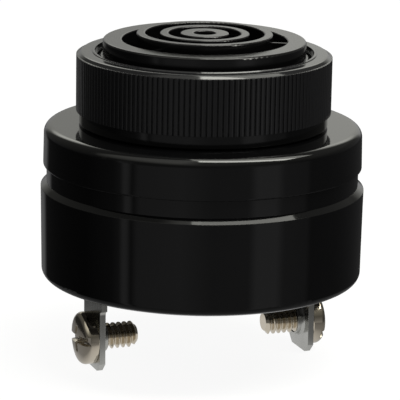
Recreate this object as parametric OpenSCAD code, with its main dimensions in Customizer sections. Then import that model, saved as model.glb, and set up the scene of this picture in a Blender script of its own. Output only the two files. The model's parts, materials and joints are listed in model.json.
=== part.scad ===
// Panel mount piezo buzzer: a moulded body with a threaded neck and a ring
// grille, a knurled ring nut that clamps the panel against the flange, and two
// tab terminals with clamp screws at the back.
// Origin: centre of the flange's seating face. +Z runs out through the grille,
// the terminals stand side by side along X. All sizes in millimetres.

/* [Body] */
// Diameter of the rear case at its shoulder
case_d = 43; // [42.4:0.1:46]
// Depth of the body behind the flange face
body_depth = 20.55; // [19.5:0.05:26]
// Step in from the rear case's shoulder to the front section's wall
front_inset = 0.33; // [0.31:0.01:0.5]
// Height of the front section's wall
front_h = 5.45; // [4.6:0.05:6]
// Height of the groove where the two mouldings meet
groove_h = 2.27; // [1.8:0.01:2.8]
// Depth of that groove below the front section's wall
groove_depth = 0.45; // [0.3:0.05:0.6]
// Radius of the flange's upper edge
front_round = 1.2; // [0.8:0.05:1.8]
// Wall of the rear case
case_wall = 1.66; // [1.4:0.02:1.9]
// Thickness of the rear cover
cover_t = 2; // [1.6:0.1:2.4]

/* [Neck and grille] */
// Major diameter of the neck's thread
thread_d = 28.1; // [27.6:0.1:28.4]
// Height of the threaded length above the flange
thread_h = 9.2; // [8.4:0.1:9.4]
// Diameter of the plain rim above the thread
rim_d = 26.8; // [26:0.1:27.2]
// Height of the rim's top above the flange
rim_top = 11.36; // [11.1:0.02:11.6]
// Bore of the neck inside the rim
neck_bore_d = 21.76; // [21.2:0.02:22.4]
// Height of the grille's rings above the flange
grille_top = 12.23; // [11.9:0.01:12.8]
// Depth of the grille's rings
grille_depth = 2.9; // [2.4:0.1:3.4]
// Outer diameter of the grille's larger ring
ring_outer_d = 17.96; // [17.4:0.02:18.6]
// Outer diameter of the grille's smaller ring
ring_inner_d = 11.82; // [11.2:0.02:12.4]
// Width of each ring
ring_w = 1.16; // [0.9:0.02:1.4]
// Diameter of the middle disc
disc_d = 6.44; // [6:0.02:7]
// Diameter of the hole in the middle disc
disc_hole_d = 2.86; // [2:0.02:3.4]
// Ribs that carry each ring
rib_count = 3; // [3:1:6]
// Width of a rib
rib_w = 0.3; // [0.25:0.01:0.6]

/* [Ring nut] */
// Diameter over the knurl
nut_d = 33.8; // [33:0.1:35]
// Height of the ring nut
nut_h = 9.85; // [9.6:0.05:10.6]
// Number of teeth in the knurl
tooth_count = 150; // [120:1:160]
// Depth of a tooth
tooth_depth = 0.28; // [0.15:0.01:0.35]
// Height of the smooth collar below the knurl
collar_h = 1.9; // [1.4:0.1:2.6]
// Depth of the recess in the nut's top
nut_recess = 0.65; // [0.4:0.01:1]
// Radius of the nut's upper edge
nut_round = 1.1; // [0.8:0.01:1.5]

/* [Terminals] */
// Distance between the terminals' centre planes
tab_spacing = 29.8; // [28:0.1:31]
// Width of a tab
tab_w = 6.8; // [6.2:0.05:7.2]
// Thickness of a tab
tab_t = 0.8; // [0.7:0.05:1]
// Length of a tab below the rear cover
tab_reach = 11.55; // [11:0.05:14]
// Distance of the screw's axis from the tab's tip
screw_from_tip = 4; // [3.8:0.1:4.6]
// Major diameter of the clamp screw's thread
screw_d = 3.5; // [3:0.1:3.6]
// Length of the clamp screw under its head
screw_len = 6.1; // [5:0.1:8]
// Diameter of the screw's head
head_d = 7.05; // [6.4:0.05:7.4]
// Height of the screw's head
head_h = 2.25; // [2:0.05:2.5]

/* [Sounder and circuit] */
// Wall of the front section around the transducer
spigot_wall = 1.88; // [1.5:0.02:2.4]
// Width of bare brass around the ceramic
brass_margin = 5; // [4.6:0.1:8]
// Width of bare ceramic around the silver electrode
ceramic_margin = 0.8; // [0.5:0.1:3]
// Thickness of the circuit board
board_t = 1.6; // [1:0.1:1.6]

/* [Hidden] */
$fn = 96;

// clearances
weld_gap = 0.02;
slot_gap = 0.05;
thread_gap = 0.1;
screw_gap = 0.03;
leg_gap = 0.05;
eps = 0.01;

// front section, groove and rear case
case_r = case_d / 2;
front_r = case_r - front_inset;
front_top_r = front_r - 0.07;
front_foot_round = 0.25;
groove_r = front_r - groove_depth;
seam_z = -front_h - groove_h;
case_draft = 0.14;
case_foot_r = case_r - case_draft;
shoulder_h = 0.62;
shoulder_round = 0.3;
case_foot_round = 1.1;
case_foot_z = -body_depth;
cover_proud = 0.1;
cover_z = case_foot_z - cover_proud;
cover_top_z = cover_z + cover_t;
cover_r = case_foot_r - case_foot_round - 0.08;
cover_round = 0.08;
case_bore_r = case_foot_r - case_wall;
ledge_w = 0.8;
ledge_r = case_bore_r - ledge_w;

// neck
flange_t = 1.8;
neck_bore_r = neck_bore_d / 2;
thread_r = thread_d / 2;
thread_lead = 0.4;
rim_r = rim_d / 2;
rim_round = 0.3;
grille_z = grille_top - grille_depth;
rib_top = rim_top - 0.06;
ring_round = 0.2;
rib_turn = -28.5;
rib_turn_2 = rib_turn - 31;
rib_turn_3 = rib_turn + 60;

// sound chamber and transducer
spigot_r = case_bore_r - weld_gap;
chamber_r = spigot_r - spigot_wall;
plate_r = chamber_r - 0.3;
plate_t = 0.3;
gasket_t = 0.3;
gasket_w = 1.1;
ceramic_r = plate_r - brass_margin;
ceramic_t = 0.25;
electrode_r = ceramic_r - ceramic_margin;
electrode_t = 0.05;
chamber_z = -3.4;
gasket_z = chamber_z - gasket_t;
plate_z = gasket_z - plate_t;
ceramic_z = plate_z - ceramic_t;
electrode_z = ceramic_z - electrode_t;
clamp_h = 2;
clamp_w = 1.5;

// circuit board, held between the case's ledge and the front spigot
board_z = -13.6;
board_top = board_z + board_t;
board_r = case_bore_r - slot_gap;

// tab terminals
tab_x = tab_spacing / 2;
tab_tip_z = cover_z - tab_reach;
tab_chamfer = 1.15;
tab_foot_round = 0.65;
tab_foot_w = tab_w + 2 * tab_foot_round;
tab_foot_z = cover_z - 3.65;
tab_stop_w = tab_foot_w + 1.2;
tab_stop_h = 0.9;
tang_w = 3.2;
tang_proud = 0.8;
screw_z = tab_tip_z + screw_from_tip;
screw_r = screw_d / 2;
collar_r = screw_r + 0.28;
collar_len = 0.9;
collar_round = 0.25;
head_r = head_d / 2;
head_round = 0.85;
head_crown = 0.3;
slot_w = 1.1;
slot_depth = 1;
cross_span = 3.4;
cross_w = 0.9;
cross_depth = 1.3;
left_screw_turn = -84;
right_screw_turn = -62;

// ring nut
nut_r = nut_d / 2;
nut_bore_r = thread_r + thread_gap;
nut_recess_r = nut_bore_r + 0.3;
nut_collar_r = nut_r - 0.45;
nut_foot_chamfer = 0.55;
knurl_lean = 30;
knurl_run = tooth_depth + 0.03;
knurl_end_z = nut_h - nut_round * (1 - sin(knurl_lean));
valley_share = 0.24;
crest_share = 0.3;

// board parts: place on the board, turn about Z
leg_r = 0.28;
leg_hole_r = leg_r + leg_gap;
leg_under = 1.1;
coil_x = -5.5;
coil_y = 7;
coil_d = 8;
coil_h = 5.6;
coil_flange = 0.8;
winding_inset = 0.4;
capacitor_x = 6.5;
capacitor_y = board_r - 10.65;
capacitor_d = 5;
capacitor_h = 5;
transistor_x = 9;
transistor_y = -1.5;
transistor_d = 4.8;
transistor_flat = 1.2;
transistor_h = 4.6;
transistor_lift = 1.2;
transistor_pitch = 1.27;
resistor_x = 10.65 - board_r;
resistor_y = -4;
resistor_step_x = 4.5;
resistor_step_y = -2.5;
resistor_d = 1.9;
resistor_len = 3.6;
resistor_span = 6.4;
diode_x = 5;
diode_y = 9.65 - board_r;
diode_d = 2.6;
diode_len = 4.6;
diode_span = 8;
axial_lift = 0.2;
lead_r = 0.55;
plate_lead_y = chamber_r - clamp_w - 2;
electrode_lead_y = 1.5;
bead_r = 0.95;
bead_h = 0.5;

// ---- profile helpers -------------------------------------------------------

// Takes a convex corner that points to +x and +y off a profile, to radius r.
// The arc starts on a side that leans in by the angle lean.
module round_off(x, y, r, lean = 0) {
    translate([x - r * cos(lean), y - r]) difference() {
        polygon([[0, 0], [2 * r * cos(lean), 2 * r * sin(lean)], [2 * r, 2 * r], [0, 2 * r]]);
        circle(r);
    }
}

// The same for a corner that points down (+x, -y).
module round_off_low(x, y, r) {
    translate([x, y]) mirror([0, 1]) round_off(0, 0, r);
}

// A flat ring with its two top edges rounded.
module ring_profile(outer, inner, low, high, r) {
    difference() {
        translate([inner, low]) square([outer - inner, high - low]);
        round_off(outer, high, r);
        translate([inner, high]) mirror([1, 0]) round_off(0, 0, r);
    }
}

module tube(outer, inner, low, high) {
    translate([0, 0, low]) difference() {
        cylinder(r = outer, h = high - low);
        translate([0, 0, -1]) cylinder(r = inner, h = high - low + 2);
    }
}

// ---- front moulding --------------------------------------------------------

module front_section_profile() {
    difference() {
        polygon([
            [neck_bore_r, -flange_t],
            [neck_bore_r, 0],
            [front_top_r, 0],
            [front_top_r, -front_round],
            [front_r, -front_h + front_foot_round],
            [front_r, -front_h],
            [groove_r, -front_h],
            [groove_r, seam_z],
            [spigot_r, seam_z],
            [spigot_r, board_top],
            [chamber_r + 0.6, board_top],
            [chamber_r, board_top + 0.6],
            [chamber_r, chamber_z],
            [plate_r - gasket_w, chamber_z],
            [plate_r - gasket_w, -flange_t]
        ]);
        round_off(front_top_r, 0, front_round);
        round_off_low(front_r, -front_h, front_foot_round);
    }
}

module neck_profile() {
    difference() {
        polygon([
            [neck_bore_r, -flange_t],
            [thread_r, -flange_t],
            [thread_r, thread_h - thread_lead],
            [thread_r - thread_lead, thread_h],
            [rim_r, thread_h],
            [rim_r, rim_top],
            [neck_bore_r, rim_top]
        ]);
        round_off(rim_r, rim_top, rim_round);
        translate([neck_bore_r, rim_top]) mirror([1, 0]) round_off(0, 0, ring_round);
    }
}

module grille_rings() {
    ring_outer_r = ring_outer_d / 2;
    ring_inner_r = ring_inner_d / 2;
    rotate_extrude() {
        ring_profile(ring_outer_r, ring_outer_r - ring_w, grille_z, grille_top, ring_round);
        ring_profile(ring_inner_r, ring_inner_r - ring_w, grille_z, grille_top, ring_round);
        ring_profile(disc_d / 2, disc_hole_d / 2, grille_z, grille_top, ring_round);
    }
}

// Ribs from one ring to the next, each row turned against the one before.
module rib_row(inner, outer, turn) {
    for (i = [0 : rib_count - 1])
        rotate(turn + i * 360 / rib_count)
            translate([inner, -rib_w / 2, grille_z])
                cube([outer - inner, rib_w, rib_top - grille_z]);
}

module grille_ribs() {
    bite = ring_w / 2;
    rib_row(ring_outer_d / 2 - bite, neck_bore_r + bite, rib_turn);
    rib_row(ring_inner_d / 2 - bite, ring_outer_d / 2 - bite, rib_turn_2);
    rib_row(disc_d / 2 - bite, ring_inner_d / 2 - bite, rib_turn_3);
}

module front_housing() {
    color([0.055, 0.055, 0.06]) union() {
        rotate_extrude() {
            front_section_profile();
            neck_profile();
        }
        grille_rings();
        grille_ribs();
    }
}

// ---- ring nut --------------------------------------------------------------

// The knurl runs out on a bevel, and the upper edge's arc starts from it.
module nut_profile() {
    difference() {
        polygon([
            [nut_bore_r + 0.35, 0],
            [nut_collar_r - nut_foot_chamfer * 0.6, 0],
            [nut_collar_r, nut_foot_chamfer * 1.2],
            [nut_collar_r, collar_h - 0.15],
            [nut_r, collar_h],
            [nut_r, knurl_end_z - knurl_run / tan(knurl_lean)],
            [nut_r - knurl_run, knurl_end_z],
            [nut_r - knurl_run, nut_h],
            [nut_recess_r, nut_h],
            [nut_recess_r, nut_h - nut_recess],
            [nut_bore_r, nut_h - nut_recess],
            [nut_bore_r, 0.35]
        ]);
        round_off(nut_r - knurl_run, nut_h, nut_round, knurl_lean);
    }
}

// Outline of the knurl: flat crests, sloping flanks, narrow valleys.
function tooth_points(step, r) = let (a = 360 / tooth_count) [
    for (i = [0 : tooth_count - 1])
        for (p = [
            [-crest_share / 2, r],
            [crest_share / 2, r],
            [0.5 - valley_share / 2, r - step],
            [0.5 + valley_share / 2, r - step]
        ]) [p[1] * cos((i + p[0]) * a), p[1] * sin((i + p[0]) * a)]
];

module ring_nut() {
    crest_r = nut_r / cos(180 * crest_share / tooth_count);
    color([0.06, 0.06, 0.065]) intersection() {
        rotate_extrude() nut_profile();
        union() {
            translate([0, 0, -1]) cylinder(r = nut_r + 1, h = collar_h + 1);
            translate([0, 0, collar_h - eps])
                linear_extrude(nut_h - collar_h + 1) polygon(tooth_points(tooth_depth, crest_r));
        }
    }
}

// ---- rear mouldings --------------------------------------------------------

module case_profile() {
    difference() {
        polygon([
            [case_bore_r, seam_z],
            [groove_r, seam_z],
            [case_r, seam_z - shoulder_h],
            [case_foot_r, case_foot_z + case_foot_round],
            [case_foot_r, case_foot_z],
            [cover_r + weld_gap, case_foot_z],
            [cover_r + weld_gap, cover_top_z],
            [ledge_r, cover_top_z],
            [ledge_r, board_z],
            [case_bore_r, board_z]
        ]);
        round_off_low(case_foot_r, case_foot_z, case_foot_round);
    }
}

module rear_case() {
    color([0.045, 0.045, 0.05]) rotate_extrude() case_profile();
}

module rear_cover() {
    color([0.05, 0.05, 0.055]) difference() {
        rotate_extrude() difference() {
            translate([0, cover_z]) square([cover_r, cover_t]);
            round_off_low(cover_r, cover_z, cover_round);
        }
        for (side = [-1, 1])
            translate([side * tab_x, 0, cover_z + cover_t / 2])
                cube([tab_t + 2 * slot_gap, tab_foot_w + 2 * slot_gap, cover_t + 2], center = true);
    }
}

// ---- terminals -------------------------------------------------------------

// The blank seen along X: first coordinate along Y, second along Z.
module tab_outline() {
    half = tab_w / 2;
    foot = tab_foot_w / 2;
    difference() {
        polygon([
            [-half + tab_chamfer, tab_tip_z],
            [half - tab_chamfer, tab_tip_z],
            [half, tab_tip_z + tab_chamfer],
            [half, tab_foot_z],
            [foot, tab_foot_z],
            [foot, cover_top_z],
            [tab_stop_w / 2, cover_top_z],
            [tab_stop_w / 2, cover_top_z + tab_stop_h],
            [tang_w / 2, cover_top_z + tab_stop_h],
            [tang_w / 2, board_top + tang_proud],
            [-tang_w / 2, board_top + tang_proud],
            [-tang_w / 2, cover_top_z + tab_stop_h],
            [-tab_stop_w / 2, cover_top_z + tab_stop_h],
            [-tab_stop_w / 2, cover_top_z],
            [-foot, cover_top_z],
            [-foot, tab_foot_z],
            [-half, tab_foot_z],
            [-half, tab_tip_z + tab_chamfer]
        ]);
        for (side = [-1, 1])
            translate([side * foot, tab_foot_z]) circle(tab_foot_round);
    }
}

// The collar that the punch draws out of the tab for the screw's thread.
module collar_profile() {
    polygon([
        [screw_r + screw_gap, -eps],
        [collar_r + collar_round, -eps],
        [collar_r + collar_round, 0],
        [collar_r + 0.08, collar_round * 0.7],
        [collar_r, collar_round * 1.6],
        [collar_r - 0.06, collar_len],
        [screw_r + screw_gap, collar_len]
    ]);
}

module terminal(side) {
    color([0.72, 0.72, 0.70]) difference() {
        union() {
            translate([side * tab_x - tab_t / 2, 0, 0])
                rotate([90, 0, 90]) linear_extrude(tab_t) tab_outline();
            translate([side * (tab_x - tab_t / 2), 0, screw_z])
                rotate([0, -side * 90, 0]) rotate_extrude() collar_profile();
        }
        translate([side * tab_x, 0, screw_z])
            rotate([0, 90, 0]) cylinder(r = screw_r + screw_gap, h = 3 * tab_t, center = true);
    }
}

module terminal_left() { terminal(-1); }
module terminal_right() { terminal(1); }

// Half of a pan head: a straight wall, a shoulder arc and a crown that meets it.
module head_profile() {
    wall = head_h - head_round - head_crown;
    shoulder = head_r - head_round;
    crown_r = (pow(shoulder, 2) + pow(head_round + head_crown, 2) - pow(head_round, 2))
        / (2 * head_crown);
    crown_z = head_h - crown_r;
    reach = 1.5 * crown_r / (crown_r - head_round);
    polygon([
        [0, 0],
        [head_r - 0.1, 0],
        [head_r, 0.1],
        [head_r, wall],
        [0, wall]
    ]);
    translate([shoulder, wall]) circle(head_round);
    intersection() {
        translate([0, crown_z]) circle(crown_r, $fn = 360);
        polygon([
            [0, 0],
            [shoulder, 0],
            [shoulder, wall],
            [shoulder * reach, crown_z + (wall - crown_z) * reach],
            [0, crown_z + (wall - crown_z) * reach]
        ]);
    }
}

// Clamp screw along +Z, its head on top of z = 0.
module screw_profile() {
    tip = 0.6;
    polygon([
        [0, -screw_len],
        [screw_r - tip, -screw_len],
        [screw_r, -screw_len + tip],
        [screw_r, eps],
        [0, eps]
    ]);
    head_profile();
}

// The head has a slot across it and a cross recess in its middle.
module clamp_screw(side, turn) {
    color([0.78, 0.76, 0.72]) translate([side * (tab_x + tab_t / 2), 0, screw_z])
        rotate([0, side * 90, 0]) rotate(turn) difference() {
            rotate_extrude() screw_profile();
            translate([0, 0, head_h]) {
                cube([head_d + 1, slot_w, 2 * slot_depth], center = true);
                cube([cross_w, cross_span, 2 * cross_depth], center = true);
                cube([cross_span, cross_w, 2 * cross_depth], center = true);
            }
        }
}

module screw_left() { clamp_screw(-1, left_screw_turn); }
module screw_right() { clamp_screw(1, right_screw_turn); }

// ---- transducer ------------------------------------------------------------

module plate_gasket() {
    color([0.75, 0.72, 0.66]) tube(plate_r, plate_r - gasket_w, gasket_z, chamber_z);
}

module transducer_plate() {
    color([0.80, 0.64, 0.30]) translate([0, 0, plate_z]) cylinder(r = plate_r, h = plate_t);
}

module piezo_ceramic() {
    color([0.88, 0.86, 0.80]) translate([0, 0, ceramic_z])
        cylinder(r = ceramic_r, h = ceramic_t);
}

module silver_electrode() {
    color([0.80, 0.80, 0.80]) translate([0, 0, electrode_z])
        cylinder(r = electrode_r, h = electrode_t);
}

module clamp_ring() {
    color([0.12, 0.12, 0.13])
        tube(chamber_r - weld_gap, chamber_r - clamp_w, plate_z - clamp_h, plate_z);
}

// ---- circuit ---------------------------------------------------------------

// Where the parts stand on the board. The axial parts lie along Y.
resistor_at = [
    for (i = [0 : 2]) [resistor_x + i * resistor_step_x, resistor_y + i * resistor_step_y]
];
diode_at = [diode_x, diode_y];
resistor_axis_z = board_top + resistor_d / 2 + axial_lift;
diode_axis_z = board_top + diode_d / 2 + axial_lift;

function axial_feet(at, span) = [for (side = [-1, 1]) [at[0], at[1] + side * span / 2]];

transistor_feet = [
    for (i = [-1 : 1]) [transistor_x, transistor_y + i * transistor_pitch]
];

leg_places = concat(
    [for (at = resistor_at) for (foot = axial_feet(at, resistor_span)) foot],
    axial_feet(diode_at, diode_span),
    transistor_feet
);

module circuit_board() {
    color([0.16, 0.34, 0.18]) difference() {
        translate([0, 0, board_z]) cylinder(r = board_r, h = board_t);
        for (p = leg_places)
            translate([p[0], p[1], board_z - 1]) cylinder(r = leg_hole_r, h = board_t + 2, $fn = 24);
        for (side = [-1, 1])
            translate([side * tab_x, 0, board_z])
                cube([tab_t + 2 * slot_gap, tang_w + 2 * slot_gap, 3 * board_t], center = true);
    }
}

// A vertical leg from below the board up to a height.
module leg(at, top) {
    translate([at[0], at[1], board_z - leg_under])
        cylinder(r = leg_r, h = top - board_z + leg_under, $fn = 24);
}

// An axial part's two bent legs: each stands on its foot and turns in at the top.
module axial_legs(at, span, body_len, axis_z) {
    for (side = [-1, 1])
        union() {
            foot = [at[0], at[1] + side * span / 2];
            leg(foot, axis_z);
            translate([foot[0], foot[1], axis_z]) {
                sphere(r = leg_r, $fn = 24);
                rotate([side * 90, 0, 0]) cylinder(r = leg_r, h = (span - body_len) / 2, $fn = 24);
            }
        }
}

module axial_body(at, d, len, axis_z) {
    translate([at[0], at[1], axis_z]) rotate([90, 0, 0])
        cylinder(d = d, h = len, center = true, $fn = 48);
}

module resistor(i) {
    color([0.78, 0.66, 0.48])
        axial_body(resistor_at[i], resistor_d, resistor_len, resistor_axis_z);
}

module resistor_1() { resistor(0); }
module resistor_2() { resistor(1); }
module resistor_3() { resistor(2); }

module resistor_legs() {
    color([0.75, 0.75, 0.75]) for (at = resistor_at)
        axial_legs(at, resistor_span, resistor_len, resistor_axis_z);
}

module protection_diode() {
    color([0.10, 0.10, 0.11]) axial_body(diode_at, diode_d, diode_len, diode_axis_z);
}

module diode_legs() {
    color([0.75, 0.75, 0.75]) axial_legs(diode_at, diode_span, diode_len, diode_axis_z);
}

module driver_transistor() {
    color([0.09, 0.09, 0.10])
        translate([transistor_x, transistor_y, board_top + transistor_lift])
            difference() {
                cylinder(d = transistor_d, h = transistor_h);
                translate([transistor_flat, -transistor_d, -1])
                    cube([transistor_d, 2 * transistor_d, transistor_h + 2]);
            }
}

module transistor_legs() {
    color([0.75, 0.75, 0.75]) for (p = transistor_feet)
        leg(p, board_top + transistor_lift);
}

module coil_core() {
    color([0.20, 0.20, 0.21]) translate([coil_x, coil_y, board_top]) rotate_extrude()
        polygon([
            [0, 0],
            [coil_d / 2, 0],
            [coil_d / 2, coil_flange],
            [coil_d / 5, coil_flange],
            [coil_d / 5, coil_h - coil_flange],
            [coil_d / 2, coil_h - coil_flange],
            [coil_d / 2, coil_h],
            [0, coil_h]
        ]);
}

module coil_winding() {
    color([0.72, 0.40, 0.22]) translate([coil_x, coil_y, 0])
        tube(coil_d / 2 - winding_inset, coil_d / 5,
            board_top + coil_flange, board_top + coil_h - coil_flange);
}

module filter_capacitor() {
    color([0.16, 0.18, 0.26])
        translate([capacitor_x, capacitor_y, board_top]) rotate_extrude() difference() {
            square([capacitor_d / 2, capacitor_h]);
            round_off(capacitor_d / 2, capacitor_h, 0.4);
            translate([capacitor_d / 2 + 0.25, 1]) circle(0.4, $fn = 32);
        }
}

module plate_lead() {
    color([0.10, 0.10, 0.10]) translate([0, plate_lead_y, board_top])
        cylinder(r = lead_r, h = plate_z - bead_h - board_top, $fn = 32);
}

module electrode_lead() {
    color([0.62, 0.08, 0.07]) translate([0, electrode_lead_y, board_top])
        cylinder(r = lead_r, h = electrode_z - bead_h - board_top, $fn = 32);
}

// Solder between each lead and the face it feeds.
module solder_beads() {
    color([0.70, 0.70, 0.68]) {
        translate([0, plate_lead_y, plate_z - bead_h])
            cylinder(r1 = bead_r * 0.65, r2 = bead_r, h = bead_h, $fn = 48);
        translate([0, electrode_lead_y, electrode_z - bead_h])
            cylinder(r1 = bead_r * 0.65, r2 = bead_r, h = bead_h, $fn = 48);
    }
}

front_housing();
ring_nut();
rear_case();
rear_cover();
terminal_left();
terminal_right();
screw_left();
screw_right();
plate_gasket();
transducer_plate();
piezo_ceramic();
silver_electrode();
clamp_ring();
circuit_board();
coil_core();
coil_winding();
filter_capacitor();
driver_transistor();
transistor_legs();
resistor_1();
resistor_2();
resistor_3();
resistor_legs();
protection_diode();
diode_legs();
plate_lead();
electrode_lead();
solder_beads();
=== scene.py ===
"""Panel mount piezo buzzer: finishes, knurled nut, clamp screws, studio and camera.

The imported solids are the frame. Everything here is in metres in that frame:
the origin is the centre of the flange's seating face, +Z runs out through the
grille and the two terminals stand side by side along X.
"""

from __future__ import annotations

import json
import logging
import math
from dataclasses import dataclass
from enum import Enum

import bmesh
import bpy
from mathutils import Matrix, Vector

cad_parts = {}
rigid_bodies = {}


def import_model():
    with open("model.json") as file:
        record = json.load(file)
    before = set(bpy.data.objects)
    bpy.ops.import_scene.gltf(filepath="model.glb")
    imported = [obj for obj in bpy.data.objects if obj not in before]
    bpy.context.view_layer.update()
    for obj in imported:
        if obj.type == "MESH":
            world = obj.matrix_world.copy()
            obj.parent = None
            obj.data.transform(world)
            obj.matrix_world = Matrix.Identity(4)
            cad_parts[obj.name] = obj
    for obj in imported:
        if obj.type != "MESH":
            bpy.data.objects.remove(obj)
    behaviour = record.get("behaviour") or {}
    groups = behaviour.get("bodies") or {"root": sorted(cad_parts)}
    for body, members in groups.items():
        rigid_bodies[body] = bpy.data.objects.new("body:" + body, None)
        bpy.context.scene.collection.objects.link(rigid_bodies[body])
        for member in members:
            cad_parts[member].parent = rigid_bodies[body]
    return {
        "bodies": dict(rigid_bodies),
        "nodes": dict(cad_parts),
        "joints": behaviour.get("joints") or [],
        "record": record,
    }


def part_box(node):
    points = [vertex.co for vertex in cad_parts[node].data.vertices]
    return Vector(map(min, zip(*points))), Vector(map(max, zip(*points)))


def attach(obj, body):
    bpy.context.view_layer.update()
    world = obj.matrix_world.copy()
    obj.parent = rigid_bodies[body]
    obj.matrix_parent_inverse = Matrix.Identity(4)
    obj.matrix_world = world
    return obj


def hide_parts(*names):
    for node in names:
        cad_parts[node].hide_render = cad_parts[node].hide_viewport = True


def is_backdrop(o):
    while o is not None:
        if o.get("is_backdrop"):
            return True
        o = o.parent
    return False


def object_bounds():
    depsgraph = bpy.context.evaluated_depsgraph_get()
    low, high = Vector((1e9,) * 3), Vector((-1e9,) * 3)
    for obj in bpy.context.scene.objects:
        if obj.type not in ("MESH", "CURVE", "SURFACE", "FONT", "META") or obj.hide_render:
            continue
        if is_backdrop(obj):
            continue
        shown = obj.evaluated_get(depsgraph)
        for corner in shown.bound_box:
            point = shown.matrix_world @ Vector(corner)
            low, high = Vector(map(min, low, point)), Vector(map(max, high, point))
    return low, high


LOG = logging.getLogger("piezo_buzzer")
MM = 0.001
# edges that turn further than this stay sharp in the shading
SMOOTH_DEG = 32
# edges that turn further than this are bevelled after the recesses are cut
CUT_DEG = 50
# where the studio's open, dark side is, and where the camera looks from
FRONT_AZIMUTH_DEG = -20.5
# the slightly warm white of the sweep and the lamps
WARM_WHITE = "#fffff6"


def linear(hex_code: str) -> tuple[float, float, float, float]:
    """Turns an sRGB hex colour into a linear one.

    Args:
        hex_code: Six hex digits, such as "#1a1b1c".

    Returns:
        Linear red, green and blue, and an alpha of 1.
    """
    text = hex_code.lstrip("#")
    parts = [int(text[i : i + 2], 16) / 255 for i in (0, 2, 4)]
    red, green, blue = (
        c / 12.92 if c <= 0.04045 else ((c + 0.055) / 1.055) ** 2.4 for c in parts
    )
    return red, green, blue, 1.0


def add_node(
    tree: bpy.types.NodeTree,
    kind: str,
    links: dict[str | int, bpy.types.NodeSocket] | None = None,
    values: dict[str | int, object] | None = None,
    **settings: object,
) -> bpy.types.Node:
    """Adds one node with its settings, its socket values and its links.

    Args:
        tree: The node tree to add to.
        kind: The node's type, such as "ShaderNodeTexNoise".
        links: Input name or index to the output socket that feeds it.
        values: Input name or index to its own value.
        **settings: Attributes of the node itself.

    Returns:
        The new node.
    """
    node = tree.nodes.new(kind)
    for key, value in settings.items():
        setattr(node, key, value)
    for key, value in (values or {}).items():
        node.inputs[key].default_value = value
    for key, socket in (links or {}).items():
        tree.links.new(socket, node.inputs[key])
    return node


def add_above(
    tree: bpy.types.NodeTree, value: bpy.types.NodeSocket, limit: float
) -> bpy.types.NodeSocket:
    """Adds a mask: 1 where the value is above the limit, and 0 elsewhere."""
    return add_node(
        tree, "ShaderNodeMath", {0: value}, {1: limit}, operation="GREATER_THAN"
    ).outputs[0]


def add_radius(
    tree: bpy.types.NodeTree, coords: bpy.types.NodeSocket
) -> bpy.types.NodeSocket:
    """Adds the distance from the Z axis and returns its socket."""
    flat = add_node(
        tree, "ShaderNodeMapping", {0: coords}, {"Scale": (1.0, 1.0, 0.0)}
    ).outputs["Vector"]
    return add_node(
        tree, "ShaderNodeVectorMath", {0: flat}, operation="LENGTH"
    ).outputs["Value"]


def add_ramp(
    tree: bpy.types.NodeTree,
    share: bpy.types.NodeSocket,
    stops: list[tuple[float, float]],
    colour: str = "#ffffff",
) -> bpy.types.NodeSocket:
    """Adds a colour ramp.

    Args:
        tree: The node tree to add to.
        share: What runs along the ramp, from 0 to 1.
        stops: Places on the ramp, and how bright it is there.
        colour: What the brightness is multiplied by, as an sRGB hex code.

    Returns:
        The socket that carries the colour.
    """
    ramp = add_node(tree, "ShaderNodeValToRGB", {"Fac": share})
    elements = ramp.color_ramp.elements
    elements.remove(elements[1])
    for index, (place, brightness) in enumerate(stops):
        stop = elements[0] if index == 0 else elements.new(place)
        stop.position = place
        stop.color = [brightness * part for part in linear(colour)]
    return ramp.outputs["Color"]


def wave_scale(pitch_mm: float) -> float:
    """Returns the wave texture's scale for one band every so many millimetres."""
    return math.pi / (10 * pitch_mm * MM)


def settle(shape: bmesh.types.BMesh) -> None:
    """Puts a mesh in an order that depends only on where its vertices are.

    A spin, a cut and a bevel can order the same result differently from run to
    run, and the next bevel's corners and the shading would follow that order.

    Args:
        shape: The mesh, whose vertices are also rounded to a nanometre.
    """
    places = {
        vert: tuple(round(part, 9) for part in vert.co) for vert in shape.verts
    }
    rank = {vert: i for i, vert in enumerate(sorted(places, key=places.get))}
    loops = []
    for face in shape.faces:
        loop = [rank[vert] for vert in face.verts]
        first = loop.index(min(loop))
        loops.append(loop[first:] + loop[:first])
    ordered = sorted(places.values())
    shape.clear()
    verts = [shape.verts.new(place) for place in ordered]
    for loop in sorted(loops):
        shape.faces.new([verts[i] for i in loop])
    shape.normal_update()


def turn_section(
    shape: bmesh.types.BMesh,
    outline: list[tuple[float, float]],
    steps: int,
    closed: bool = False,
) -> None:
    """Turns a section round the Z axis into a body of revolution.

    Args:
        shape: The empty mesh that it goes into.
        outline: The section, as radii and heights in metres.
        steps: Steps round the axis.
        closed: Whether the section's last point joins its first.
    """
    verts = [shape.verts.new((x, 0, z)) for x, z in outline]
    after = verts[1:] + (verts[:1] if closed else [])
    edges = [shape.edges.new(pair) for pair in zip(verts, after)]
    bmesh.ops.spin(
        shape,
        geom=verts + edges,
        axis=(0, 0, 1),
        angle=math.tau,
        steps=steps,
        use_merge=True,
    )
    bmesh.ops.remove_doubles(shape, verts=shape.verts, dist=1e-7)
    settle(shape)


def bevel_edges(
    shape: bmesh.types.BMesh,
    edges: list[bmesh.types.BMEdge],
    offset_mm: float,
    **settings: bool,
) -> list[bmesh.types.BMVert]:
    """Rounds some edges in two segments and returns the new vertices."""
    return bmesh.ops.bevel(
        shape,
        geom=edges,
        offset=offset_mm * MM,
        segments=2,
        profile=0.5,
        affect="EDGES",
        material=-1,
        **settings,
    )["verts"]


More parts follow.
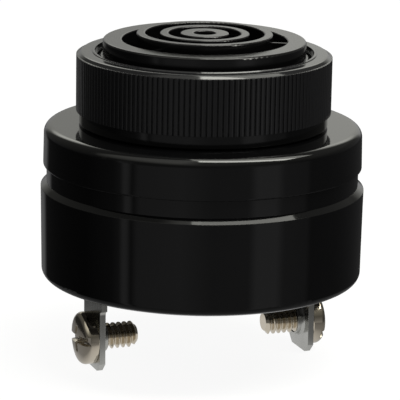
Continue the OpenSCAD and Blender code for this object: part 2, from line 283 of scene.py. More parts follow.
def add_object(shape: bmesh.types.BMesh, name: str) -> bpy.types.Object:
    """Makes a smooth shaded object of a mesh, which is freed, and links it."""
    settle(shape)
    mesh = bpy.data.meshes.new(name)
    shape.to_mesh(mesh)
    shape.free()
    mesh.shade_smooth()
    mesh.set_sharp_from_angle(angle=math.radians(SMOOTH_DEG))
    piece = bpy.data.objects.new(name, mesh)
    bpy.context.scene.collection.objects.link(piece)
    return piece


def move_into(shape: bmesh.types.BMesh, part: bmesh.types.BMesh) -> None:
    """Adds the part's geometry to the shape and frees the part."""
    mesh = bpy.data.meshes.new("part")
    part.to_mesh(mesh)
    part.free()
    shape.from_mesh(mesh)
    bpy.data.meshes.remove(mesh)


class Surface(Enum):
    """How a surface was made, by the way its grain is drawn out."""

    MOULDED = (1.0, 1.0, 1.0)
    ROLLED = (1.0, 1.0, 0.06)
    TURNED = (0.05, 1.0, 1.0)

    @property
    def stretch(self) -> tuple[float, float, float]:
        """Scale of the grain along X, Y and Z."""
        return self.value


@dataclass(frozen=True)
class Finish:
    """One material: what it is and how its surface was made.

    Attributes:
        name: The material's name.
        colour: Base colour as an sRGB hex code.
        second: The colour that it varies to.
        roughness: Mean roughness.
        spread: How far the roughness varies either way.
        metallic: 1 for a metal.
        ior: Index of refraction, for what isn't a metal.
        surface: How the surface was made.
        grain_mm: Size of the surface's grain in millimetres.
        relief_mm: Height of that grain.
        mottle: Share of the second colour at most.
        edge_mm: Radius that the shading gives to sharp edges.
    """

    name: str
    colour: str
    second: str
    roughness: float
    spread: float = 0.02
    metallic: float = 0.0
    ior: float = 1.5
    surface: Surface = Surface.MOULDED
    grain_mm: float = 0.3
    relief_mm: float = 0.002
    mottle: float = 0.5
    edge_mm: float = 0.06

    def build(self) -> bpy.types.Material:
        """Makes the material's nodes and returns it."""
        material = bpy.data.materials.new(self.name)
        material.use_nodes = True
        tree = material.node_tree
        tree.nodes.clear()
        coords = add_node(tree, "ShaderNodeTexCoord").outputs["Object"]
        mapped = add_node(
            tree,
            "ShaderNodeMapping",
            {"Vector": coords},
            {"Scale": self.surface.stretch},
        ).outputs["Vector"]
        grain = add_node(
            tree,
            "ShaderNodeTexNoise",
            {"Vector": mapped},
            {"Scale": 1 / (self.grain_mm * MM), "Detail": 3.0, "Roughness": 0.55},
        ).outputs["Fac"]
        edge = add_node(
            tree, "ShaderNodeBevel", values={"Radius": self.edge_mm * MM}, samples=4
        ).outputs["Normal"]
        fine = add_node(
            tree,
            "ShaderNodeBump",
            {"Height": grain, "Normal": edge},
            {"Distance": self.relief_mm * MM, "Strength": 1.0},
        ).outputs["Normal"]
        shader = add_node(
            tree,
            "ShaderNodeBsdfPrincipled",
            {
                "Base Color": self.add_colour(tree, coords),
                "Roughness": self.add_roughness(tree, coords, grain),
                "Normal": self.add_relief(tree, coords, fine),
            },
            {"Metallic": self.metallic, "IOR": self.ior},
        )
        add_node(
            tree, "ShaderNodeOutputMaterial", {"Surface": shader.outputs["BSDF"]}
        )
        return material

    def add_colour(
        self, tree: bpy.types.NodeTree, coords: bpy.types.NodeSocket
    ) -> bpy.types.NodeSocket:
        """Adds the colour, which drifts between the two over some millimetres.

        Args:
            tree: The material's nodes.
            coords: Object coordinates.

        Returns:
            The socket that carries the colour.
        """
        broad = add_node(
            tree,
            "ShaderNodeTexNoise",
            {"Vector": coords},
            {"Scale": 1 / (7.0 * MM), "Detail": 2.0},
        ).outputs["Fac"]
        share = add_node(
            tree,
            "ShaderNodeMapRange",
            {"Value": broad},
            {"From Min": 0.35, "From Max": 0.7, "To Min": 0.0, "To Max": self.mottle},
        ).outputs["Result"]
        return add_node(
            tree,
            "ShaderNodeMixRGB",
            {"Fac": share},
            {"Color1": linear(self.colour), "Color2": linear(self.second)},
        ).outputs["Color"]

    def add_roughness(
        self,
        tree: bpy.types.NodeTree,
        coords: bpy.types.NodeSocket,
        grain: bpy.types.NodeSocket,
    ) -> bpy.types.NodeSocket:
        """Adds the roughness, which follows the grain.

        Args:
            tree: The material's nodes.
            coords: Object coordinates.
            grain: The grain's noise.

        Returns:
            The socket that carries the roughness.
        """
        return add_node(
            tree,
            "ShaderNodeMapRange",
            {"Value": grain},
            {
                "From Min": 0.3,
                "From Max": 0.7,
                "To Min": max(self.roughness - self.spread, 0.02),
                "To Max": self.roughness + self.spread,
            },
        ).outputs["Result"]

    def add_relief(
        self,
        tree: bpy.types.NodeTree,
        coords: bpy.types.NodeSocket,
        fine: bpy.types.NodeSocket,
    ) -> bpy.types.NodeSocket:
        """Returns the normal with any coarser relief that the finish has."""
        return fine


@dataclass(frozen=True)
class SteppedFinish(Finish):
    """A moulding whose tool has one texture up to a height and another above it, with
    painted sheen, a lighter colour, above the step.

    Attributes:
        step_mm: The height at which the texture changes.
        satin: Roughness above the step.
        painted_sheen: Colour above the step, lighter than below: painted sheen.
    """

    step_mm: float = 9.0
    satin: float = 0.16
    # painted sheen: a lighter colour above the step
    painted_sheen: str = "#0b0b0c"

    def add_step(
        self, tree: bpy.types.NodeTree, coords: bpy.types.NodeSocket
    ) -> bpy.types.NodeSocket:
        """Adds a mask and returns its socket: 0 under the step and 1 above."""
        height = add_node(tree, "ShaderNodeSeparateXYZ", {0: coords}).outputs["Z"]
        return add_above(tree, height, self.step_mm * MM)

    def add_colour(
        self, tree: bpy.types.NodeTree, coords: bpy.types.NodeSocket
    ) -> bpy.types.NodeSocket:
        """Adds the drifting colour, and the lighter painted sheen above the step."""
        return add_node(
            tree,
            "ShaderNodeMixRGB",
            {
                "Fac": self.add_step(tree, coords),
                "Color1": super().add_colour(tree, coords),
            },
            {"Color2": linear(self.painted_sheen)},
        ).outputs["Color"]

    def add_roughness(
        self,
        tree: bpy.types.NodeTree,
        coords: bpy.types.NodeSocket,
        grain: bpy.types.NodeSocket,
    ) -> bpy.types.NodeSocket:
        """Adds the lower texture's roughness, and the satin above the step."""
        return add_node(
            tree,
            "ShaderNodeMath",
            {
                0: self.add_step(tree, coords),
                2: super().add_roughness(tree, coords, grain),
            },
            {1: self.satin - self.roughness},
            operation="MULTIPLY_ADD",
        ).outputs[0]


@dataclass(frozen=True)
class FrontMoulding(SteppedFinish):
    """The front moulding: a polished flange, a threaded neck and a satin grille.

    The satin starts where the thread ends.

    Attributes:
        thread_r_mm: Radius beyond which the neck's wall is the thread.
        pitch_mm: The thread's pitch.
        crest_mm: How deep the thread looks.
        plain_mm: Height without a thread at each end of the neck.
    """

    thread_r_mm: float = 13.9
    pitch_mm: float = 1.5
    crest_mm: float = 0.45
    plain_mm: float = 0.3

    def add_relief(
        self,
        tree: bpy.types.NodeTree,
        coords: bpy.types.NodeSocket,
        fine: bpy.types.NodeSocket,
    ) -> bpy.types.NodeSocket:
        """Adds the neck's thread as a helical ridge."""
        parts = add_node(tree, "ShaderNodeSeparateXYZ", {0: coords}).outputs
        angle = add_node(
            tree,
            "ShaderNodeMath",
            {0: parts["X"], 1: parts["Y"]},
            operation="ARCTAN2",
        ).outputs[0]
        ridge = add_node(
            tree,
            "ShaderNodeTexWave",
            {"Vector": coords, "Phase Offset": angle},
            {"Scale": wave_scale(self.pitch_mm)},
            bands_direction="Z",
            wave_profile="TRI",
        ).outputs["Fac"]
        outside = add_above(tree, add_radius(tree, coords), self.thread_r_mm * MM)
        middle = self.step_mm * MM / 2
        beside = add_node(
            tree,
            "ShaderNodeMath",
            {0: parts["Z"]},
            {1: middle, 2: middle - self.plain_mm * MM},
            operation="COMPARE",
        ).outputs[0]
        where = add_node(
            tree, "ShaderNodeMath", {0: outside, 1: beside}, operation="MULTIPLY"
        ).outputs[0]
        height = add_node(
            tree, "ShaderNodeMath", {0: ridge, 1: where}, operation="MULTIPLY"
        ).outputs[0]
        return add_node(
            tree,
            "ShaderNodeBump",
            {"Height": height, "Normal": fine},
            {"Distance": self.crest_mm * MM, "Strength": 1.0},
        ).outputs["Normal"]


@dataclass(frozen=True)
class BandedFinish(Finish):
    """A finish with fine bands.

    Attributes:
        pitch_mm: Spacing of the bands.
        across: The axis that the bands cross, "Y" or "Z".
        band: Their colour: the laminate's weave, the resistor's print, and the wire's
            painted shade in its grooves.
        band_mm: How high they stand.
    """

    pitch_mm: float = 0.3
    across: str = "Z"
    band: str = "#3a2412"
    band_mm: float = 0.03

    def add_colour(
        self, tree: bpy.types.NodeTree, coords: bpy.types.NodeSocket
    ) -> bpy.types.NodeSocket:
        """Adds the bands to the drifting colour."""
        ground = super().add_colour(tree, coords)
        return add_node(
            tree,
            "ShaderNodeMixRGB",
            {"Fac": self.add_bands(tree, coords), "Color1": ground},
            {"Color2": linear(self.band)},
        ).outputs["Color"]

    def add_relief(
        self,
        tree: bpy.types.NodeTree,
        coords: bpy.types.NodeSocket,
        fine: bpy.types.NodeSocket,
    ) -> bpy.types.NodeSocket:
        """Sinks the bands between the ridges."""
        return add_node(
            tree,
            "ShaderNodeBump",
            {"Height": self.add_bands(tree, coords), "Normal": fine},
            {"Distance": self.band_mm * MM, "Strength": 1.0},
            invert=True,
        ).outputs["Normal"]

    def add_bands(
        self, tree: bpy.types.NodeTree, coords: bpy.types.NodeSocket
    ) -> bpy.types.NodeSocket:
        """Adds the bands' own pattern and returns its socket."""
        wave = add_node(
            tree,
            "ShaderNodeTexWave",
            {"Vector": coords},
            {"Scale": wave_scale(self.pitch_mm)},
            bands_direction=self.across,
        ).outputs["Fac"]
        return add_node(
            tree,
            "ShaderNodeMapRange",
            {"Value": wave},
            {"From Min": 0.75, "From Max": 0.85},
        ).outputs["Result"]


@dataclass(frozen=True)
class ClampScrew:
    """A pan head clamp screw with a rolled thread, a slot and a cross recess.

    It is made along +Z with its head's underside at z = 0, and then laid along X.

    Attributes:
        node: The CAD node that it stands for.
        body: The body that it rides on.
        side: -1 for the terminal at -X, 1 for the one at +X.
        turn_deg: How far the screw is turned.
        head_mm: Height of the head.
        foot_mm: Chamfer round the head's underside.
        crown_mm: Rise of the head's crown.
        shoulder_mm: Radius of the head's shoulder.
        slot_mm: Width and depth of the slot.
        cross_mm: Span, width and depth of the cross recess.
        pitch_mm: The thread's pitch.
        crest_mm: The thread's crest radius.
        root_mm: The thread's root radius.
        flanks: Where the thread's two flanks start and end, in pitches.
        tip_mm: Radius of the tip's flat end.
        overlap_mm: How far the shank reaches into the head.
        bevel_mm: Width that the recesses' edges are rounded by.
        head_steps: Steps round the head.
        steps: Steps in one turn of the thread.
    """

    node: str
    body: str
    side: int
    turn_deg: float
    head_mm: float = 2.25
    foot_mm: float = 0.1
    crown_mm: float = 0.3
    shoulder_mm: float = 0.85
    slot_mm: tuple[float, float] = (1.1, 1.0)
    cross_mm: tuple[float, float, float] = (3.4, 0.9, 1.3)
    pitch_mm: float = 0.794
    crest_mm: float = 1.75
    root_mm: float = 1.3
    flanks: tuple[float, float, float, float] = (0.14, 0.5, 0.62, 0.98)
    tip_mm: float = 1.15
    overlap_mm: float = 0.2
    bevel_mm: float = 0.05
    head_steps: int = 96
    steps: int = 64

    def build(self) -> bpy.types.Object:
        """Makes the screw in place, ready to be dressed."""
        low, high = (Vector(corner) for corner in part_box(self.node))
        size = high - low
        shape = bmesh.new()
        self.add_head(shape, size.z / 2)
        self.add_thread(shape, size.x - self.head_mm * MM)
        seat_x = (low.x if self.side < 0 else high.x) - self.side * self.head_mm * MM
        axis = Vector((seat_x, (low.y + high.y) / 2, (low.z + high.z) / 2))
        lay = (
            Matrix.Translation(axis)
            @ Matrix.Rotation(math.radians(90 * self.side), 4, "Y")
            @ Matrix.Rotation(math.radians(self.turn_deg), 4, "Z")
        )
        bmesh.ops.transform(shape, matrix=lay, verts=shape.verts)
        piece = add_object(shape, f"threaded_{self.node}")
        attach(piece, self.body)
        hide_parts(self.node)
        return piece

    def add_head(self, shape: bmesh.types.BMesh, radius: float) -> None:
        """Adds the carved head.

        Args:
            shape: The mesh that it goes into.
            radius: The head's radius in metres.
        """
        wall = (self.head_mm - self.shoulder_mm - self.crown_mm) * MM
        foot, shoulder, crown, top = (
            size * MM
            for size in (self.foot_mm, self.shoulder_mm, self.crown_mm, self.head_mm)
        )
        reach = radius - shoulder
        dome = (reach**2 + (shoulder + crown) ** 2 - shoulder**2) / (2 * crown)
        lean = math.asin(reach / (dome - shoulder))
        outline = [(0.0, 0.0), (radius - foot, 0.0), (radius, foot)]
        for step in range(9):
            angle = (math.pi / 2 - lean) * step / 8
            outline.append(
                (
                    reach + shoulder * math.cos(angle),
                    wall + shoulder * math.sin(angle),
                )
            )
        for step in range(1, 7):
            angle = lean * (1 - step / 6)
            outline.append(
                (dome * math.sin(angle), top - dome + dome * math.cos(angle))
            )
        head = bmesh.new()
        turn_section(head, outline, self.head_steps)
        bmesh.ops.recalc_face_normals(head, faces=head.faces)
        self.carve(head, radius)
        sharp = [
            edge
            for edge in head.edges
            if edge.is_manifold and edge.calc_face_angle() > math.radians(CUT_DEG)
        ]
        bevel_edges(head, sharp, self.bevel_mm, clamp_overlap=True)
        move_into(shape, head)

    def carve(self, head: bmesh.types.BMesh, radius: float) -> None:
        """Cuts the slot and the cross recess out of the head.

        Args:
            head: The closed head.
            radius: The head's radius in metres.
        """
        slot_width, slot_depth = (size * MM for size in self.slot_mm)
        span, width, depth = (size * MM for size in self.cross_mm)
        cutter = bmesh.new()
        for sizes in (
            (2.4 * radius, slot_width, 2 * slot_depth),
            (span, width, 2 * depth),
            (width, span, 2 * depth),
        ):
            cube = bmesh.ops.create_cube(cutter, size=1.0)["verts"]
            bmesh.ops.scale(cutter, verts=cube, vec=sizes)
            bmesh.ops.translate(cutter, verts=cube, vec=(0, 0, self.head_mm * MM))
        blank, tool = (bpy.data.meshes.new(name) for name in ("blank", "tool"))
        head.to_mesh(blank)
        cutter.to_mesh(tool)
        cutter.free()
        blank_object, tool_object = (
            bpy.data.objects.new(mesh.name, mesh) for mesh in (blank, tool)
        )
        for each in (blank_object, tool_object):
            bpy.context.scene.collection.objects.link(each)
        cut = blank_object.modifiers.new("cut", "BOOLEAN")
        cut.object = tool_object
        cut.operation = "DIFFERENCE"
        cut.solver = "EXACT"
        cut.use_self = True
        ready = blank_object.evaluated_get(bpy.context.evaluated_depsgraph_get())
        result = bpy.data.meshes.new_from_object(ready)
        head.clear()
        head.from_mesh(result)
        settle(head)
        for each in (blank_object, tool_object):
            bpy.data.objects.remove(each)
        for mesh in (blank, tool, result):
            bpy.data.meshes.remove(mesh)

    def add_thread(self, shape: bmesh.types.BMesh, length: float) -> None:
        """Adds the threaded shank.

        Args:
            shape: The mesh that it goes into.
            length: The shank's length in metres.
        """
        pitch, root, crest = (
            size * MM for size in (self.pitch_mm, self.root_mm, self.crest_mm)
        )
        turns = math.ceil(length / pitch) + 2
        thread = bmesh.new()
        outline = zip(
            (root, root, crest, crest, root, root), (0.0, *self.flanks, 1.0)
        )
        verts = [
            thread.verts.new((x, 0, share * pitch - length - pitch))
            for x, share in outline
        ]
        edges = [thread.edges.new(pair) for pair in zip(verts, verts[1:])]
        bmesh.ops.spin(
            thread,
            geom=verts + edges,
            axis=(0, 0, 1),
            dvec=(0, 0, pitch / self.steps),
            angle=math.tau * turns,
            steps=self.steps * turns,
            use_merge=False,
        )
        bmesh.ops.remove_doubles(thread, verts=thread.verts, dist=1e-6)
        for height, end in ((-length, -1), (self.overlap_mm * MM, 1)):
            cut = bmesh.ops.bisect_plane(
                thread,
                geom=thread.verts[:] + thread.edges[:] + thread.faces[:],
                plane_co=(0, 0, height),
                plane_no=(0, 0, end),
                clear_outer=True,
            )["geom_cut"]
            rim = [item for item in cut if isinstance(item, bmesh.types.BMEdge)]
            bmesh.ops.contextual_create(thread, geom=rim)
        for vert in thread.verts:
            radius = vert.co.xy.length
            limit = self.tip_mm * MM + (vert.co.z + length)
            if radius > limit:
                vert.co.xy *= limit / radius
        bmesh.ops.recalc_face_normals(thread, faces=thread.faces)
        move_into(shape, thread)


@dataclass(frozen=True)
class KnurledNut:
    """The ring nut, with flat-topped teeth and a rounded upper edge.

    Attributes:
        node: The CAD node that it stands for.
        body: The body that it rides on.
        teeth: Number of teeth round the wall.
        crest_mm: Distance of a tooth's flat crest from the axis.
        tooth_mm: Width of a tooth at its crest and at its foot.
        bevel_mm: Width that a tooth's two long edges are rounded by.
        sink_mm: How far a tooth's foot is sunk into the wall.
        root_mm: Radius of the wall between the teeth.
        knurl_mm: Height at which the teeth start and end.
        collar_mm: Radius of the collar below the teeth.
        foot_mm: Chamfer round the collar's foot.
        flare_mm: Height in which the collar widens into the wall.
        ledge_mm: Width of the flat ledge above the wall.
        chamfer_mm: Radius and height at which the upper edge's chamfer ends.
        edge_mm: Radius at which its rounding runs into the flat top.
        top_mm: Height of the flat top.
        lip_mm: Radius, height and slope's width of the lip round the bore.
        bore_mm: Radius of the bore, and of the recess at its top.
        recess_mm: Height of the recess's floor.
        steps: Steps round the body.
    """

    node: str = "ring_nut"
    body: str = "nut"
    teeth: int = 150
    crest_mm: float = 16.88
    tooth_mm: tuple[float, float] = (0.5, 0.64)
    bevel_mm: float = 0.05
    sink_mm: float = 0.03
    root_mm: float = 16.7
    knurl_mm: tuple[float, float] = (1.9, 9.3)
    collar_mm: float = 16.45
    foot_mm: float = 0.3
    flare_mm: float = 0.05
    ledge_mm: float = 0.08
    chamfer_mm: tuple[float, float] = (16.31, 9.61)
    edge_mm: float = 15.85
    top_mm: float = 9.72
    lip_mm: tuple[float, float, float] = (14.75, 9.84, 0.1)
    bore_mm: tuple[float, float] = (14.15, 14.45)
    recess_mm: float = 9.2
    steps: int = 192

    def outline(self) -> list[tuple[float, float]]:
        """Returns the body's section, as radii and heights in metres."""
        low, high = self.knurl_mm
        outer = Vector((self.root_mm - self.ledge_mm, high))
        start = Vector(self.chamfer_mm)
        bend = outer.lerp(start, (self.top_mm - high) / (start.y - high))
        end = Vector((self.edge_mm, self.top_mm))
        section = [
            (self.bore_mm[0], 0.0),
            (self.collar_mm - self.foot_mm, 0.0),
            (self.collar_mm, self.foot_mm),
            (self.collar_mm, low - self.flare_mm),
            (self.root_mm, low),
            (self.root_mm, high),
            tuple(outer),
        ]
        for step in range(7):
            share = step / 6
            section.append(
                tuple(start.lerp(bend, share).lerp(bend.lerp(end, share), share))
            )
        lip, rise, slope = self.lip_mm
        section += [
            (lip + slope, self.top_mm),
            (lip, rise),
            (self.bore_mm[1], rise),
            (self.bore_mm[1], self.recess_mm),
            (self.bore_mm[0], self.recess_mm),
        ]
        return [(radius * MM, height * MM) for radius, height in section]

    def add_teeth(self, shape: bmesh.types.BMesh) -> None:
        """Adds the teeth, as one that is repeated round the axis.

        Args:
            shape: The mesh that they go into.
        """
        low, high = self.knurl_mm
        foot = self.root_mm - self.sink_mm
        tooth = bmesh.ops.create_cube(shape, size=1.0)["verts"]
        for vert in tooth:
            crest = vert.co.x > 0
            vert.co = Vector(
                (
                    self.crest_mm if crest else foot,
                    vert.co.y * self.tooth_mm[0 if crest else 1],
                    high if vert.co.z > 0 else low,
                )
            ) * MM
        edges = {edge for vert in tooth for edge in vert.link_edges}
        crests = [
            edge
            for edge in edges
            if all(vert.co.x > self.root_mm * MM for vert in edge.verts)
            and abs(edge.verts[0].co.y - edge.verts[1].co.y) < 1e-9
        ]
        rounded = bevel_edges(shape, crests, self.bevel_mm)
        verts = {vert for vert in tooth if vert.is_valid} | set(rounded)
        edges = {edge for vert in verts for edge in vert.link_edges}
        faces = {face for vert in verts for face in vert.link_faces}
        bmesh.ops.spin(
            shape,
            geom=[*verts, *edges, *faces],
            axis=(0, 0, 1),
            angle=math.tau * (self.teeth - 1) / self.teeth,
            steps=self.teeth - 1,
            use_duplicate=True,
        )

    def build(self) -> bpy.types.Object:
        """Makes the nut in place, ready to be dressed."""
        shape = bmesh.new()
        turn_section(shape, self.outline(), self.steps, closed=True)
        self.add_teeth(shape)
        bmesh.ops.recalc_face_normals(shape, faces=shape.faces)
        seat = Vector((0, 0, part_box(self.node)[0][2]))
        bmesh.ops.translate(shape, vec=seat, verts=shape.verts)
        piece = add_object(shape, f"knurled_{self.node}")
        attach(piece, self.body)
        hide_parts(self.node)
        return piece


@dataclass(frozen=True)
class Viewpoint:
    """The camera, by where it looks from.

    Attributes:
        azimuth_deg: Turn about Z from looking along +Y.
        elevation_deg: Height above the flange's plane.
        roll_deg: Turn of the picture.
        distance_mm: Distance from the origin along the view.
        across_mm: How far the camera stands to the left of the axis.
        below_mm: How far the view's middle runs under the origin.
        lens_mm: Focal length.
        sensor_mm: Width of the sensor.
    """

    azimuth_deg: float = FRONT_AZIMUTH_DEG
    elevation_deg: float = 14.008
    roll_deg: float = 1.02
    distance_mm: float = 349.42
    across_mm: float = 0.425
    below_mm: float = 10.14
    lens_mm: float = 237.23
    sensor_mm: float = 36.0

    def build(self) -> None:
        """Makes the camera and sets it as the scene's."""
        tilt, roll = math.radians(self.elevation_deg), math.radians(self.roll_deg)
        level = Vector((1, 0, 0))
        rise = Vector((0, math.sin(tilt), math.cos(tilt)))
        ahead = Vector((0, math.cos(tilt), -math.sin(tilt)))
        right = level * math.cos(roll) + rise * math.sin(roll)
        up = rise * math.cos(roll) - level * math.sin(roll)
        place = (
            right * -self.across_mm - up * self.below_mm - ahead * self.distance_mm
        )
        turn = Matrix.Rotation(math.radians(self.azimuth_deg), 4, "Z")
        axes = Matrix((right, up, -ahead)).transposed().to_4x4()
        data = bpy.data.cameras.new("studio_camera")
        data.lens = self.lens_mm
        data.sensor_width = self.sensor_mm
        data.clip_start = 0.01
        data.clip_end = 20.0
        camera = bpy.data.objects.new("studio_camera", data)
        camera.matrix_world = turn @ Matrix.Translation(place * MM) @ axes
        bpy.context.scene.collection.objects.link(camera)
        bpy.context.scene.camera = camera


@dataclass(frozen=True)
class Softbox:
    """A rectangular lamp that hangs level over the object.

    Attributes:
        name: The lamp's name.
        across_mm: Where it starts and ends, to the right of the axis.
        ahead_mm: Where it starts and ends, in front of the axis.
        height_mm: How high it hangs.
        brightness: How bright its face looks, where white is 1.
        colour: Its light, as an sRGB hex code.
    """

    name: str
    across_mm: tuple[float, float]
    ahead_mm: tuple[float, float]
    height_mm: float
    brightness: float
    colour: str = WARM_WHITE

    def build(self, azimuth_deg: float) -> None:
        """Makes the lamp.

        Args:
            azimuth_deg: The azimuth of the studio's open side.
        """
        data = bpy.data.lights.new(self.name, "AREA")
        data.shape = "RECTANGLE"
        data.size, data.size_y = (
            (end - start) * MM for start, end in (self.across_mm, self.ahead_mm)
        )
        data.energy = self.brightness * math.pi * data.size * data.size_y
        data.color = linear(self.colour)[:3]
        across, ahead = (
            sum(pair) / 2 * MM for pair in (self.across_mm, self.ahead_mm)
        )
        lamp = bpy.data.objects.new(self.name, data)
        lamp.matrix_world = Matrix.Rotation(
            math.radians(azimuth_deg), 4, "Z"
        ) @ Matrix.Translation((across, -ahead, self.height_mm * MM))
        bpy.context.scene.collection.objects.link(lamp)


@dataclass(frozen=True)
class Ring:
    """The surroundings at one height, all the way round.

    Attributes:
        elevation_deg: The height that it is given for, above the level.
        stops: Degrees to the right of the open side, and how bright it is there.
        colour: What its brightness is multiplied by, as an sRGB hex code.
    """

    elevation_deg: float
    stops: tuple[tuple[float, float], ...]
    colour: str = "#ffffff"

    def add(
        self, tree: bpy.types.NodeTree, around: bpy.types.NodeSocket
    ) -> bpy.types.NodeSocket:
        """Adds the ring as a colour ramp.

        Args:
            tree: The world's nodes.
            around: The turn from the ring's start, from 0 to 1.

        Returns:
            The socket that carries the brightness, where white is 1.
        """
        stops = [(0.5 + degrees / 360, bright) for degrees, bright in self.stops]
        return add_ramp(tree, around, stops, self.colour)


@dataclass(frozen=True)
class Studio:
    """The pale floor, the surroundings and the lamps.

    Attributes:
        floor_z: Height of the floor in metres.
        front_azimuth_deg: Where the studio's open, dark side is.
        painted_reflection: Distances from the axis in millimetres, and how bright
            the floor glows there to glossy rays, a painted reflection; beyond the
            last one the surroundings are mirrored.
        rings: The surroundings, from the lowest up.
        lamps: The softboxes.
        paper: The floor's own colour, as an sRGB hex code.
        glow: How bright the floor looks by itself, before its colour is lit.
        floor_m: The floor's radius in metres.
    """

    floor_z: float
    front_azimuth_deg: float = FRONT_AZIMUTH_DEG
    # painted reflection: a glow that only glossy rays see, dimming away from the axis
    painted_reflection: tuple[tuple[float, float], ...] = ((15, 0.75), (20, 0.24), (40, 0.13))
    rings: tuple[Ring, ...] = (
        # the table beyond the painted reflection, with a card on the left and one on the
        # right
        Ring(
            -6,
            (
                (-180, 0.1), (-154, 0.2), (-146, 0.02), (-90, 0.02), (-66, 0.055),
                (-60, 0.1), (-57, 0.28), (-54, 0.25), (-51, 0.06), (-46, 0.18),
                (-14, 0.21), (8, 0.14), (34, 0.145), (40, 0.29), (55, 0.28), (61, 0.15),
                (80, 0.115), (84, 0.06), (110, 0.045), (180, 0.035),
            ),
        ),
        # the room in front and the white sweep behind
        Ring(
            0,
            (
                (-180, 0.35), (-160, 0.35), (-154, 0.08), (-63, 0.04), (-58, 0.2),
                (-51, 0.2), (-47, 0.09), (28, 0.12), (38, 0.2), (54, 0.2), (66, 0.1),
                (84, 0.04), (154, 0.1), (160, 0.5), (180, 0.5),
            ),
        ),
        # the sweep as the flange mirrors it, which brightens upwards from there
        Ring(
            16,
            (
                (-180, 0.6), (-160, 0.6), (-150, 0.1), (-90, 0.1), (90, 0.1),
                (150, 0.1), (160, 0.85), (180, 0.85),
            ),
            WARM_WHITE,
        ),
        Ring(
            25,
            (
                (-180, 2.0), (-160, 2.0), (-150, 0.12), (-90, 0.1), (-80, 0.4),
                (-30, 0.3), (30, 0.15), (150, 0.15), (160, 1.8), (180, 1.8),
            ),
            WARM_WHITE,
        ),
        # the ceiling, with some light from the left
        Ring(
            48,
            (
                (-180, 0.3), (-150, 0.12), (-96, 0.12), (-86, 0.7), (-20, 0.9),
                (0, 0.3), (150, 0.12), (180, 0.3),
            ),
            WARM_WHITE,
        ),
    )
    lamps: tuple[Softbox, ...] = (
        Softbox("key_box", (-20, 700), (60, 260), 620, 11.0),
        Softbox("rear_box", (-40, 700), (-180, 60), 620, 3.0),
    )
    paper: str = "#5c5c5c"
    glow: float = 0.925
    floor_m: float = 6.0

    def add_surroundings(self, tree: bpy.types.NodeTree) -> bpy.types.NodeSocket:
        """Adds the rings, each one blending into the next above it.

        Args:
            tree: The world's nodes.

        Returns:
            The socket that carries the brightness, where white is 1.
        """
        toward = add_node(tree, "ShaderNodeTexCoord").outputs["Generated"]
        faced = add_node(
            tree,
            "ShaderNodeMapping",
            {"Vector": toward},
            {"Rotation": (0, 0, math.radians(90 - self.front_azimuth_deg))},
        ).outputs["Vector"]
        around = add_node(
            tree, "ShaderNodeTexGradient", {"Vector": faced}, gradient_type="RADIAL"
        ).outputs["Fac"]
        rise = add_node(tree, "ShaderNodeSeparateXYZ", {0: toward}).outputs["Z"]
        shown = self.rings[0].add(tree, around)
        for low, high in zip(self.rings, self.rings[1:]):
            share = add_node(
                tree,
                "ShaderNodeMapRange",
                {"Value": rise},
                {
                    "From Min": math.sin(math.radians(low.elevation_deg)),
                    "From Max": math.sin(math.radians(high.elevation_deg)),
                },
            ).outputs["Result"]
            shown = add_node(
                tree,
                "ShaderNodeMixRGB",
                {"Fac": share, "Color1": shown, "Color2": high.add(tree, around)},
            ).outputs["Color"]
        return shown

    def add_painted_reflection(self, tree: bpy.types.NodeTree) -> bpy.types.NodeSocket:
        """Adds what glossy rays see: a painted reflection, a glow that dims away from the
        axis, and nothing beyond it.

        Args:
            tree: The floor's nodes.

        Returns:
            The socket that carries the shader.
        """
        coords = add_node(tree, "ShaderNodeTexCoord").outputs["Object"]
        reach = self.painted_reflection[-1][0]
        share = add_node(
            tree,
            "ShaderNodeMath",
            {0: add_radius(tree, coords)},
            {1: 1 / (reach * MM)},
            operation="MULTIPLY",
        ).outputs[0]
        stops = [(distance / reach, bright) for distance, bright in self.painted_reflection]
        near = add_node(
            tree,
            "ShaderNodeEmission",
            {"Color": add_ramp(tree, share, stops)},
            {"Strength": 1.0},
        ).outputs["Emission"]
        open_air = add_node(tree, "ShaderNodeBsdfTransparent").outputs["BSDF"]
        return add_node(
            tree,
            "ShaderNodeMixShader",
            {0: add_above(tree, share, 1.0), 1: near, 2: open_air},
        ).outputs[0]

    def build_floor(self) -> None:
        """Makes the floor, which is white and shows glossy rays a painted reflection round
        the object.
        """
        mesh = bpy.data.meshes.new("studio_floor")
        shape = bmesh.new()
        bmesh.ops.create_circle(
            shape, cap_ends=True, segments=96, radius=self.floor_m
        )
        bmesh.ops.translate(shape, verts=shape.verts, vec=(0, 0, self.floor_z))
        shape.to_mesh(mesh)
        shape.free()
        floor = bpy.data.objects.new("studio_floor", mesh)
        bpy.context.scene.collection.objects.link(floor)
        material = bpy.data.materials.new("pale_floor")
        material.use_nodes = True
        tree = material.node_tree
        tree.nodes.clear()
        path = add_node(tree, "ShaderNodeLightPath").outputs
        paper = add_node(
            tree, "ShaderNodeBsdfDiffuse", values={"Color": linear(self.paper)}
        ).outputs["BSDF"]
        white = add_node(
            tree,
            "ShaderNodeEmission",
            values={"Color": linear("#ffffff"), "Strength": self.glow},
        ).outputs["Emission"]
        seen = add_node(tree, "ShaderNodeAddShader", {0: paper, 1: white}).outputs[0]
        shown = add_node(
            tree,
            "ShaderNodeMixShader",
            {0: path["Is Glossy Ray"], 1: paper, 2: self.add_painted_reflection(tree)},
        ).outputs[0]
        surface = add_node(
            tree,
            "ShaderNodeMixShader",
            {0: path["Is Camera Ray"], 1: shown, 2: seen},
        ).outputs[0]
        add_node(tree, "ShaderNodeOutputMaterial", {"Surface": surface})
        mesh.materials.append(material)
        floor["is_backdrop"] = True

    def build_world(self) -> None:
        """Sets the world: white to the camera, the surroundings to the rest."""
        scene = bpy.context.scene
        scene.world = scene.world or bpy.data.worlds.new("studio_world")
